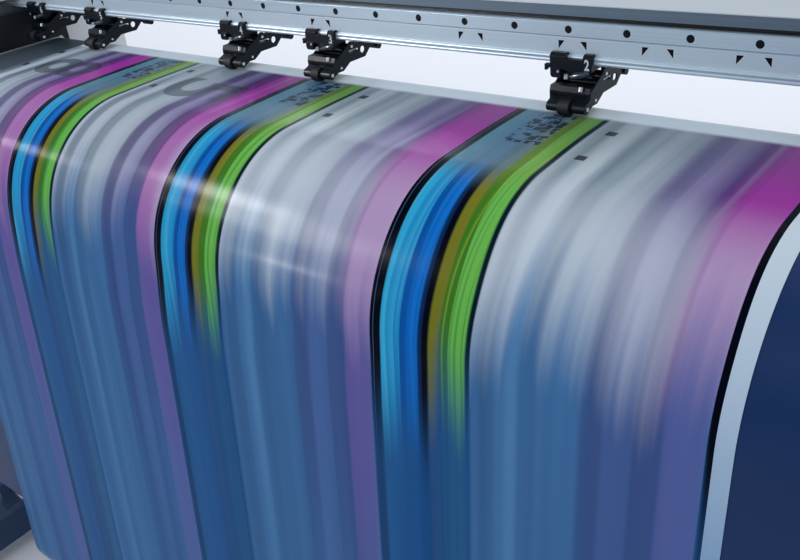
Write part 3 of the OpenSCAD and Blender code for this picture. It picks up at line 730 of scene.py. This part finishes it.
unit_black, at = new_finish("unit_black")
fibres = at.noise(700, 3, (1, 0.3, 0.3))
rubbed = worn_edges(at, 0.0008) * at.noise(160, 3).between(0.42, 0.6)
shade(at, rubbed.mix(fibres.mix(tone(8, 14, 22), tone(16, 24, 34)), tone(58, 72, 86)), 0.12 * fibres + 0.3,
      relief=fibres, depth=0.00006, edge=0.0004, IOR=1.3)
rubber, at = new_finish("roller_rubber")
ground = at.noise(1500, 1, (1, 0.02, 0.02))
shade(at, ground.mix(tone(14, 18, 24), tone(28, 33, 40)), 0.2 * ground + 0.55, relief=ground,
      depth=0.00004, IOR=1.35)
lever_gloss, at = new_finish("lever_gloss")
shade(at, at.noise(200, 2).mix(tone(58, 72, 84), tone(84, 98, 110)), 0.16, Coat_Weight=0.5)
bright_pin, at = new_finish("bright_pin")
shade(at, at.noise(300, 2).mix(tone(214, 220, 226), tone(240, 244, 248)), 0.2, 0.5)
spring_steel, at = new_finish("spring_steel")
shade(at, at.noise(900, 2).mix(tone(170, 178, 186), tone(220, 226, 232)), 0.22, 1.0)
digit_white, at = new_finish("digit_white")
shade(at, tone(240, 243, 246), 0.4)


def block(made, low, high):
    """Adds a box between two corners."""
    middle = (Vector(low) + Vector(high)) / 2
    size = Vector(high) - Vector(low)
    bmesh.ops.create_cube(made, size=1, matrix=Matrix.Translation(middle) @ Matrix.Diagonal((*size, 1)))


def on_unit(axle, offset):
    """A place that is given from the roller's middle along X and from the rail's middle line in height."""
    return axle.x + offset[0], offset[1], rail_z + offset[2]


number_size = (0.0052, 0.0108)
number_at = (0.0158, -0.00806, -0.0305)
number_bold = 0.03
lever_at = (0.008, -0.0090, -0.0408)
lever_half = (0.0116, 0.0032, 0.0029)
lever_lean = -14
arm_face = 0.0228

# Each pin is its place on the unit, its axis, its radius and its length, and the thin one also its sides.
clamp_screw = ((-0.0055, -0.0095, -0.0430), (0, 0, 1), 0.0021, 0.0042)
clamp_rivet = ((-0.0135, -0.0112, -0.0382), (0, 1, 0), 0.0012, 0.0010)
arm_stud = ((0.0115, -0.0118, -0.0535), (0, 0.35, 1), 0.0022, 0.0046)
arm_link = ((arm_face, -0.0030, -0.0655), (1, 0, 0), 0.0015, 0.0012)
arm_wire = ((0.0016, -0.0100, -0.0630), (1, 0, -0.06), 0.0006, 0.0075, 8)
axle_head_r = 0.0021
axle_head_h = 0.0016
pivot_y = 0.019
pivot_z = rail_z - 0.0455
pivot_head_r = 0.0018
pivot_head_h = 0.0012
shield_low = (-0.0215, 0.0125, -0.0620)
shield_high = (0.0215, 0.0140, -0.0540)
spring_turns = 11
spring_steps = 14 * spring_turns
spring_r = 0.0012
spring_wire_r = 0.00045
spring_reach = 0.0185
spring_fall = 0.0011
spring_x = 0.0214
spring_y = pivot_y - 0.0045
spring_z = pivot_z - 0.0049
for i in range(1, 7):
    dress(unit_black, "pinch_clamp_%d" % i, "pinch_arm_%d" % i)
    dress(rubber, "pinch_roller_%d" % i)
    roller_low, roller_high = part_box("pinch_roller_%d" % i)
    axle = (roller_low + roller_high) / 2
    unit = "unit_%d" % i
    arm = "arm_%d" % i
    lettered("number_%d" % i, str(i), number_size, digit_white, on_unit(axle, number_at), 90, 0, unit,
             number_bold)
    lever = bmesh.new()
    bmesh.ops.create_uvsphere(lever, u_segments=24, v_segments=12, radius=1, matrix=(
        Matrix.Translation(on_unit(axle, lever_at)) @ Matrix.Rotation(math.radians(lever_lean), 4, "Y")
        @ Matrix.Diagonal((*lever_half, 1))))
    piece("lever_%d" % i, lever, lever_gloss, unit, True)
    pins = bmesh.new()
    for offset, *shape in (clamp_screw, clamp_rivet):
        pin(pins, on_unit(axle, offset), *shape)
    piece("clamp_pins_%d" % i, pins, bright_pin, unit)
    pins = bmesh.new()
    for offset, *shape in (arm_stud, arm_link, arm_wire):
        pin(pins, on_unit(axle, offset), *shape)
    pin(pins, (axle.x + arm_face, axle.y, axle.z), (1, 0, 0), axle_head_r, axle_head_h)
    pin(pins, (axle.x + arm_face, pivot_y, pivot_z), (1, 0, 0), pivot_head_r, pivot_head_h)
    piece("arm_pins_%d" % i, pins, bright_pin, arm)
    shield = bmesh.new()
    block(shield, on_unit(axle, shield_low), on_unit(axle, shield_high))
    piece("arm_shield_%d" % i, shield, unit_black, arm)
    spring = bmesh.new()
    start = Vector((axle.x + spring_x, spring_y, spring_z))
    ring = bmesh.ops.create_circle(spring, segments=6, radius=spring_wire_r, matrix=(
        Matrix.Translation(start + Vector((0, 0, spring_r))) @ Matrix.Rotation(math.radians(90), 4, "Y")))
    bmesh.ops.spin(spring, geom=ring["verts"] + list(spring.edges), cent=start, axis=(0, 1, 0),
                   dvec=(0, spring_reach / spring_steps, -spring_fall / spring_steps),
                   angle=math.radians(360 * spring_turns), steps=spring_steps)
    piece("spring_%d" % i, spring, spring_steel, arm, True)

# Floor and light
# A plain pale floor, a sky that is bright behind the machine and dim before it, two soft lamps, and four
# small ones that put the gleams on the web's front bend.

floor_half = 30
ground_grid = bmesh.new()
bmesh.ops.create_grid(ground_grid, x_segments=1, y_segments=1, size=floor_half)
floor = bpy.data.objects.new("floor", bpy.data.meshes.new("floor"))
ground_grid.to_mesh(floor.data)
ground_grid.free()
bpy.context.scene.collection.objects.link(floor)
floor_finish, at = new_finish("floor")
shade(at, tone(232, 235, 240), 0.6, edge=0.0)
floor.data.materials.append(floor_finish)

sky_strength = 0.9
world = bpy.data.worlds.new("sky")
world.use_nodes = True
sky = Wire(world.node_tree)
direction = sky.node("TexCoord", output="Generated")
facing = direction.axis("Y") + 0.8 * direction.axis("X")
sky.tree.links.new((facing.between(-0.6, 0.4)).mix(tone(116, 136, 162), tone(240, 243, 248)).socket,
                   world.node_tree.nodes["Background"].inputs["Color"])
world.node_tree.nodes["Background"].inputs["Strength"].default_value = sky_strength
bpy.context.scene.world = world


def soft_lamp(name, place, aim, size, power, gleam=False):
    """A lamp facing a point. It shows only as a gleam on glossy surfaces, or only as soft light."""
    lamp = bpy.data.objects.new(name, bpy.data.lights.new(name, "AREA"))
    lamp.data.shape = "RECTANGLE"
    lamp.data.size, lamp.data.size_y = size
    lamp.data.energy = power
    lamp.location = place
    lamp.rotation_mode = "QUATERNION"
    lamp.rotation_quaternion = (Vector(aim) - Vector(place)).to_track_quat("-Z", "Y")
    lamp.visible_camera = False
    lamp.visible_diffuse = not gleam
    lamp.visible_glossy = gleam
    bpy.context.scene.collection.objects.link(lamp)


# Each lamp has its place, the point that it faces, its size and its power in watts.
soft_lamp("floor_lamp", (-2.2, 2.9, 1.3), (-2.2, 2.9, 0), (7, 1.8), 37)
soft_lamp("front_lamp", (-0.2, -1.7, 2.5), (-0.1, -0.25, 0.8), (2.4, 1.2), 14.5)
soft_lamp("gleam_main", (-1.07, -0.83, 1.69), (0.03, -0.25, 0.86), (0.26, 0.20), 13, True)
soft_lamp("gleam_wide", (-0.91, -1.09, 1.56), (0.12, -0.26, 0.85), (0.4, 0.4), 14, True)
soft_lamp("gleam_left", (-1.62, -0.76, 1.43), (-0.33, -0.25, 0.855), (0.14, 0.05), 1.5, True)
soft_lamp("gleam_low", (-0.88, -1.37, 0.98), (0.13, -0.276, 0.82), (0.10, 0.02), 3.0, True)

bpy.context.scene.view_settings.view_transform = "Standard"
